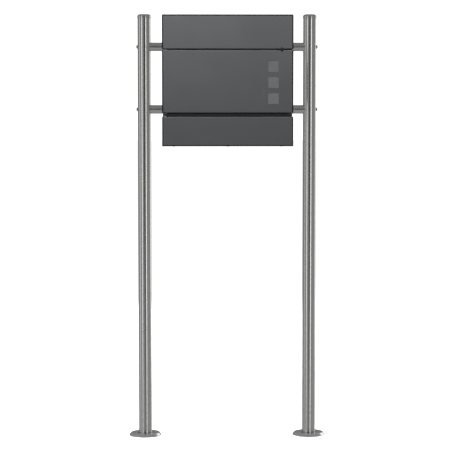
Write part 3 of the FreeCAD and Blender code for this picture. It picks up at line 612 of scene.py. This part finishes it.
# ---------------------------------------------------------------- studio
@dataclass(frozen=True)
class SoftBox:
    """One soft light of the studio, seen from the posts at an azimuth left or right of the camera."""

    name: str
    azimuth: float
    distance: float
    width: float
    low: float
    high: float
    radiance: float

    def build(self) -> None:
        """Hang the light, facing the letterbox; it shows only in reflections."""
        data = bpy.data.lights.new(self.name, "AREA")
        data.shape = "RECTANGLE"
        data.size = self.width
        data.size_y = self.high - self.low
        data.energy = self.radiance * math.pi * self.width * (self.high - self.low)
        light = bpy.data.objects.new(self.name, data)
        turn = math.radians(self.azimuth)
        middle = (self.low + self.high) / 2
        light.location = (self.distance * math.sin(turn), -self.distance * math.cos(turn), middle)
        light.rotation_euler = (math.pi / 2, 0.0, turn)
        light.visible_camera = False
        light.visible_diffuse = False
        bpy.context.collection.objects.link(light)


@dataclass(frozen=True)
class Lamp:
    """Soft rectangular light that shades the matt surfaces and doesn't show in reflections."""

    name: str
    place: tuple[float, float, float]
    aim: tuple[float, float, float]
    size: tuple[float, float]
    power: float

    def build(self) -> None:
        """Hang the light, facing its aim."""
        data = bpy.data.lights.new(self.name, "AREA")
        data.shape = "RECTANGLE"
        data.size, data.size_y = self.size
        data.energy = self.power
        light = bpy.data.objects.new(self.name, data)
        light.location = self.place
        light.rotation_euler = (Vector(self.aim) - Vector(self.place)).to_track_quat("-Z", "Y").to_euler()
        light.visible_camera = False
        light.visible_glossy = False
        bpy.context.collection.objects.link(light)


@dataclass(frozen=True)
class DarkCard:
    """Black card that draws a dark stripe in the round metal, at an azimuth from the camera's side."""

    name: str
    azimuth: float
    distance: float
    width: float
    low: float
    high: float

    def build(self) -> None:
        """Stand the card up, facing the letterbox; it shows only in reflections."""
        card = bmesh.new()
        bmesh.ops.create_grid(card, x_segments=1, y_segments=1, size=0.5)
        turn = Matrix.Rotation(math.radians(self.azimuth), 4, "Z")
        place = Matrix.Translation((0.0, -self.distance, (self.low + self.high) / 2))
        size = Matrix.Diagonal((self.width, self.high - self.low, 1.0, 1.0))
        upright = Matrix.Rotation(math.pi / 2, 4, "X") @ size
        bmesh.ops.transform(card, matrix=turn @ place @ upright, verts=card.verts)
        mesh = bpy.data.meshes.new(self.name)
        card.to_mesh(mesh)
        card.free()
        piece = bpy.data.objects.new(self.name, mesh)
        bpy.context.collection.objects.link(piece)
        graph = Graph("black felt " + self.name)
        graph.shader.inputs["Base Color"].default_value = (0.02, 0.02, 0.02, 1.0)
        graph.shader.inputs["Roughness"].default_value = 1.0
        graph.shader.inputs["Specular IOR Level"].default_value = 0.0
        piece.data.materials.append(graph.material)
        piece.visible_camera = False
        piece.visible_diffuse = False
        piece.visible_shadow = False


@dataclass
class Studio:
    """Camera, floor, backdrop and lights."""

    camera_place: tuple[float, float, float] = (-0.0929, -5.2457, 1.0102)
    camera_tilt: float = 4.38
    frame_width: float = 1.3112
    floor_radius: float = 30.0
    room_tone: float = 0.28
    ground_tone: float = 0.40
    floor_glow: float = 0.78
    backdrop_glow: float = 1.0
    horizon: tuple[float, float] = (-0.22, -0.06)
    lamps: tuple[Lamp, ...] = (
        Lamp("front fill", (0.3, -4.5, 1.2), (0.0, 0.0, 1.0), (2.5, 1.6), 24.0),
        Lamp("key", (-0.25, -0.72, 1.92), (0.0, -0.12, 1.10), (0.6, 0.4), 29.0),
        Lamp("side fill left", (-2.6, 0.35, 1.2), (-0.2, 0.0, 1.0), (1.6, 1.6), 55.0),
        Lamp("side fill right", (2.6, 0.35, 1.2), (0.2, 0.0, 1.0), (1.6, 1.6), 55.0),
        Lamp("rear fill", (-0.6, 3.0, 1.6), (0.0, 0.0, 1.0), (1.8, 1.6), 75.0),
    )
    soft_boxes: tuple[SoftBox, ...] = (
        SoftBox("broad box left", -43.0, 5.0, 1.20, -0.7, 3.2, 1.10),
        SoftBox("broad box right", 28.5, 5.0, 0.95, -0.9, 3.2, 1.60),
        SoftBox("side box left", -87.0, 4.0, 1.15, -0.6, 3.0, 0.55),
        SoftBox("rear box right", 130.0, 4.0, 2.50, -0.3, 3.0, 1.00),
    )
    cards: tuple[DarkCard, ...] = (
        DarkCard("card_front", 2.0, 5.0, 1.75, -0.7, 3.2),
        DarkCard("card_rear", 182.0, 10.0, 13.0, -1.2, 1.5),
    )

    def build_camera(self) -> None:
        """Camera in front of the letterbox, tilted down a little."""
        side, back, _ = self.camera_place
        data = bpy.data.cameras.new("camera")
        data.sensor_width = 36.0
        data.lens = data.sensor_width * -back / self.frame_width
        camera = bpy.data.objects.new("camera", data)
        camera.location = self.camera_place
        camera.rotation_euler = (math.radians(90.0 - self.camera_tilt), 0.0, math.atan2(side, -back))
        bpy.context.collection.objects.link(camera)
        bpy.context.scene.camera = camera

    def stage_piece(self, name: str, shape: bmesh.types.BMesh, glow: float) -> None:
        """Piece of the stage that only the camera sees, so that it doesn't wash out the metal.

        Args:
            name: the piece's name.
            shape: its mesh.
            glow: light that it gives off towards the camera.
        """
        mesh = bpy.data.meshes.new(name)
        shape.to_mesh(mesh)
        shape.free()
        piece = bpy.data.objects.new(name, mesh)
        bpy.context.collection.objects.link(piece)
        graph = Graph(name)
        graph.shader.inputs["Base Color"].default_value = (0.9, 0.9, 0.9, 1.0)
        graph.shader.inputs["Roughness"].default_value = 0.95
        graph.shader.inputs["Specular IOR Level"].default_value = 0.0
        graph.shader.inputs["Emission Color"].default_value = (1.0, 1.0, 1.0, 1.0)
        graph.shader.inputs["Emission Strength"].default_value = glow
        piece.data.materials.append(graph.material)
        piece.visible_diffuse = False
        piece.visible_glossy = False
        piece.visible_transmission = False
        piece.visible_shadow = False

    def build_stage(self) -> None:
        """Pale floor, and a pale dome over it as backdrop."""
        disc = bmesh.new()
        bmesh.ops.create_circle(disc, cap_ends=True, segments=96, radius=self.floor_radius)
        self.stage_piece("floor", disc, self.floor_glow)
        dome = bmesh.new()
        bmesh.ops.create_icosphere(dome, subdivisions=4, radius=self.floor_radius)
        self.stage_piece("backdrop", dome, self.backdrop_glow)

    def build_lights(self) -> None:
        """Hang the lights that shade the sheets and the boxes and cards that stripe the round metal."""
        for reflector in self.lamps + self.soft_boxes + self.cards:
            reflector.build()

    def build_world(self) -> None:
        """Grey room around the stage, lighter towards the ground."""
        world = bpy.data.worlds.new("studio")
        bpy.context.scene.world = world
        world.use_nodes = True
        nodes = world.node_tree.nodes
        links = world.node_tree.links
        parts = nodes.new("ShaderNodeSeparateXYZ")
        links.new(nodes.new("ShaderNodeTexCoord").outputs["Generated"], parts.inputs["Vector"])
        tone = nodes.new("ShaderNodeMapRange")
        tone.inputs["From Min"].default_value, tone.inputs["From Max"].default_value = self.horizon
        tone.inputs["To Min"].default_value = self.ground_tone
        tone.inputs["To Max"].default_value = self.room_tone
        links.new(parts.outputs["Z"], tone.inputs["Value"])
        background = nodes["Background"]
        background.inputs["Color"].default_value = (0.98, 0.99, 1.0, 1.0)
        links.new(tone.outputs["Result"], background.inputs["Strength"])

    def build(self) -> None:
        """Set up the whole studio."""
        self.build_camera()
        self.build_stage()
        self.build_lights()
        self.build_world()
        bpy.context.scene.view_settings.view_transform = "Standard"
        LOG.info("studio ready")


# ---------------------------------------------------------------- letterbox
SIDES = ("left", "right")


@dataclass(frozen=True)
class Stand:
    """Two posts with caps and base flanges, and the two cross tubes between them."""

    post_radius: float = 19.0 * MM
    post_wall: float = 1.5 * MM
    post_edge: float = 0.2 * MM
    screw_hole: float = 2.7 * MM
    set_screw_hole: float = 3.05 * MM
    rim_height: float = 7.0 * MM
    dome_height: float = 5.0 * MM
    rim_overhang: float = 0.75 * MM
    shoulder: float = 7.75 * MM
    cap_edge: float = 0.6 * MM
    plug_play: float = 0.05 * MM
    plug_wall: float = 2.5 * MM
    segments: int = 160
    arc_steps: int = 14

    def post_profile(self, length: float) -> list[tuple[float, float]]:
        """Outline of a tube's wall, with its ends deburred.

        Args:
            length: the tube's length.

        Returns:
            (radius, height) points.
        """
        outer = self.post_radius
        inner = outer - self.post_wall
        edge = self.post_edge
        return [(inner, 0.0), (outer - edge, 0.0), (outer, edge), (outer, length - edge),
                (outer - edge, length), (inner, length)]

    def build_post(self, side: str) -> None:
        """Turn and drill one post.

        Args:
            side: left or right.
        """
        node = "post_" + side
        low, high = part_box(node)
        axis = Vector(((low[0] + high[0]) / 2, 0.0, low[2]))
        shape = turned(self.post_profile(high[2] - low[2]), axis, self.segments)
        post = piece_of("post_tube_" + side, shape)
        across = Vector((1.0, 0.0, 0.0))
        holes = [(Vector((axis.x, 0.0, middle_of(tube).z)), across, self.screw_hole, 3 * self.post_radius)
                 for tube in ("cross_tube_lower", "cross_tube_upper")]
        set_screw = Vector((axis.x, self.post_radius, middle_of("flange_set_screws").z))
        holes.append((set_screw, Vector((0.0, 1.0, 0.0)), self.set_screw_hole, self.post_radius))
        drilled(post, holes)
        rounded_normals(post, axis)
        stand_in(post, node, "stand_and_body", Finish.POST)

    def cap_profile(self, height: float) -> list[tuple[float, float]]:
        """Outline of a cap: flat top, domed shoulder, rim and hollow plug.

        Args:
            height: whole height of the cap.

        Returns:
            (radius, height) points from the plug's lower end.
        """
        rim = self.post_radius + self.rim_overhang
        flat = rim - self.shoulder
        bend = (self.dome_height ** 2 + self.shoulder ** 2) / (2 * self.dome_height)
        sweep = math.asin(self.shoulder / bend)
        seat = height - self.rim_height - self.dome_height
        plug = self.post_radius - self.post_wall - self.plug_play
        points = [(0.0, height)]
        for step in range(self.arc_steps + 1):
            angle = sweep * step / self.arc_steps
            points.append((flat + bend * math.sin(angle), height - bend * (1 - math.cos(angle))))
        points += [(rim, seat + self.cap_edge), (rim - self.cap_edge, seat), (plug, seat)]
        points += [(plug, self.cap_edge), (plug - self.cap_edge, 0.0), (plug - self.plug_wall, 0.0)]
        roof = seat + self.rim_height - self.plug_wall
        return points + [(plug - self.plug_wall, roof), (0.0, roof)]

    def build_cap(self, side: str) -> None:
        """Turn one cap.

        Args:
            side: left or right.
        """
        node = "post_cap_" + side
        low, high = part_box(node)
        foot = Vector(((low[0] + high[0]) / 2, 0.0, low[2]))
        cap = piece_of("turned_cap_" + side, turned(self.cap_profile(high[2] - low[2]), foot, self.segments))
        stand_in(cap, node, "stand_and_body", Finish.CAP)

    def build(self) -> None:
        """Build the posts and caps and dress what holds them."""
        for side in SIDES:
            self.build_post(side)
            self.build_cap(side)
        dress_nodes(Finish.FLANGE_LEFT, "base_flange_left")
        dress_nodes(Finish.FLANGE_RIGHT, "base_flange_right")
        dress_nodes(Finish.CROSS, "cross_tube_upper", "cross_tube_lower")
        dress_nodes(Finish.FASTENER, "cross_tube_plugs", "post_spigots", "flange_set_screws", "post_screws",
                    "saddle_washers")


@dataclass(frozen=True)
class BoxBody:
    """Fixed shell of the mail compartment and what fastens it to the cross tubes."""

    def build(self) -> None:
        """Dress the shell, its rivets, bolts, hinge brackets and buffers."""
        dress_nodes(Finish.COAT, "back_panel", "side_panel_left", "side_panel_right", "mail_floor",
                    "front_rail", "hinge_bracket_upper", "hinge_bracket_lower")
        dress_nodes(Finish.RIVET, "body_rivets", "bracket_rivets")
        dress_nodes(Finish.FASTENER, "box_bolts", "rear_saddle_washers", "dome_nuts", "flap_hinge_rod",
                    "door_hinge_pins")
        dress_nodes(Finish.RUBBER, "flap_buffers", "door_buffers")
        dress_nodes(Finish.NYLON, "saddle_spacers")


@dataclass(frozen=True)
class NewspaperCompartment:
    """Compartment under the mail compartment, open at both ends."""

    def build(self) -> None:
        """Dress its front, floor and rivets."""
        dress_nodes(Finish.COAT, "newspaper_front_panel", "newspaper_floor")
        dress_nodes(Finish.RIVET, "newspaper_rivets")


@dataclass(frozen=True)
class Flap:
    """Roof and front of the mail slot in one folded sheet."""

    def build(self) -> None:
        """Dress the sheet."""
        dress_nodes(Finish.COAT, "flap_panel")


@dataclass(frozen=True)
class Door:
    """Door with its windows, inlay plate, bushes and catch."""

    def build(self) -> None:
        """Dress the door and what it carries."""
        dress_nodes(Finish.COAT, "door_panel", "door_catch")
        dress_nodes(Finish.INLAY, "inlay_plate")
        dress_nodes(Finish.FASTENER, "inlay_studs", "inlay_nuts")
        dress_nodes(Finish.NYLON, "door_bushes")


@dataclass(frozen=True)
class Lock:
    """Cam lock on the front rail."""

    def build(self) -> None:
        """Dress the barrel, plug, nut, cam and screw."""
        dress_nodes(Finish.BLACK_ZINC, "lock_barrel")
        dress_nodes(Finish.NICKEL, "lock_plug")
        dress_nodes(Finish.ZINC, "lock_nut", "lock_cam")
        dress_nodes(Finish.FASTENER, "cam_screw")


def main() -> None:
    """Build the studio and the letterbox, piece by piece."""
    Studio().build()
    for assembly in (Stand(), BoxBody(), NewspaperCompartment(), Flap(), Door(), Lock()):
        assembly.build()
        LOG.info("%s done", type(assembly).__name__)


if __name__ == "__main__":
    logging.basicConfig(level=logging.INFO, format="%(message)s")
    main()
